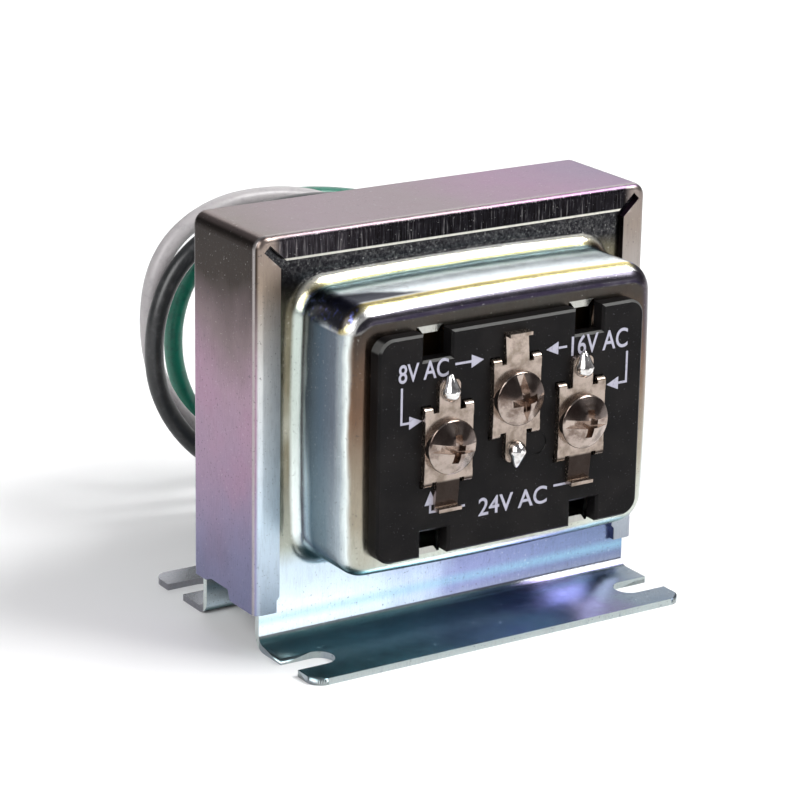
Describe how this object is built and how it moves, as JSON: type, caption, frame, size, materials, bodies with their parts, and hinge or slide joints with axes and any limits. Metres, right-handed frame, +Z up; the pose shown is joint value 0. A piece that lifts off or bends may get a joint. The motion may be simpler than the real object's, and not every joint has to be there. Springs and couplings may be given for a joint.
{
  "type": "doorbell transformer",
  "caption": "Foot-mounted bell transformer: laminated core and coil in a folded steel band, drawn steel covers, front screw terminals, rear threaded hub with insulated supply leads",
  "frame": {"origin": "on the ground under the middle of the width and of the depth from screw heads to hub, leads apart", "axes": "+X to the viewer's right, -Y out of the terminal side, +Y out of the hub, +Z up from the feet"},
  "size_m": [0.0594, 0.0739, 0.0547],
  "materials": {
    "band_steel": "bright zinc plate with a faint iridescent passivation",
    "cover_steel": "bright zinc plate with a faint iridescent passivation",
    "lamination_steel": "oxide-coated silicon steel",
    "nylon": "natural nylon",
    "copper_wire": "enamelled magnet wire",
    "tape": "polyester tape",
    "cutoff_case": "plain metal can",
    "board_plastic": "moulded phenolic, fine satin",
    "terminal_nickel": "bright nickel plate",
    "screw_nickel": "bright nickel plate",
    "solder": "bright solder",
    "hub_zinc": "zinc die casting",
    "nut_steel": "zinc plate",
    "bushing_plastic": "moulded nylon",
    "splice_metal": "tinned copper",
    "rivet_aluminium": "plain",
    "white_insulation": "pvc insulation",
    "black_insulation": "pvc insulation",
    "green_insulation": "pvc insulation",
    "bare_copper": "bare stranded copper"
  },
  "bodies": {
    "root": {"band": "band_steel", "front_cover": "cover_steel", "rear_cover": "cover_steel", "e_core": "lamination_steel", "i_core": "lamination_steel", "bobbin": "nylon", "primary_winding": "copper_wire", "secondary_winding": "copper_wire", "primary_wrap": "tape", "secondary_wrap": "tape", "thermal_cutoff": "cutoff_case", "terminal_board": "board_plastic", "terminal_left": "terminal_nickel", "terminal_centre": "terminal_nickel", "terminal_right": "terminal_nickel", "screw_left": "screw_nickel", "screw_centre": "screw_nickel", "screw_right": "screw_nickel", "solder_left": "solder", "solder_centre": "solder", "solder_right": "solder", "hub": "hub_zinc", "locknut": "nut_steel", "lead_bushing": "bushing_plastic", "splice_white": "splice_metal", "splice_black": "splice_metal", "ground_terminal": "splice_metal", "ground_rivet": "rivet_aluminium", "lead_white": "white_insulation", "lead_black": "black_insulation", "lead_green": "green_insulation", "conductor_white": "bare_copper", "conductor_black": "bare_copper", "conductor_green": "bare_copper"}
  },
  "joints": []
}
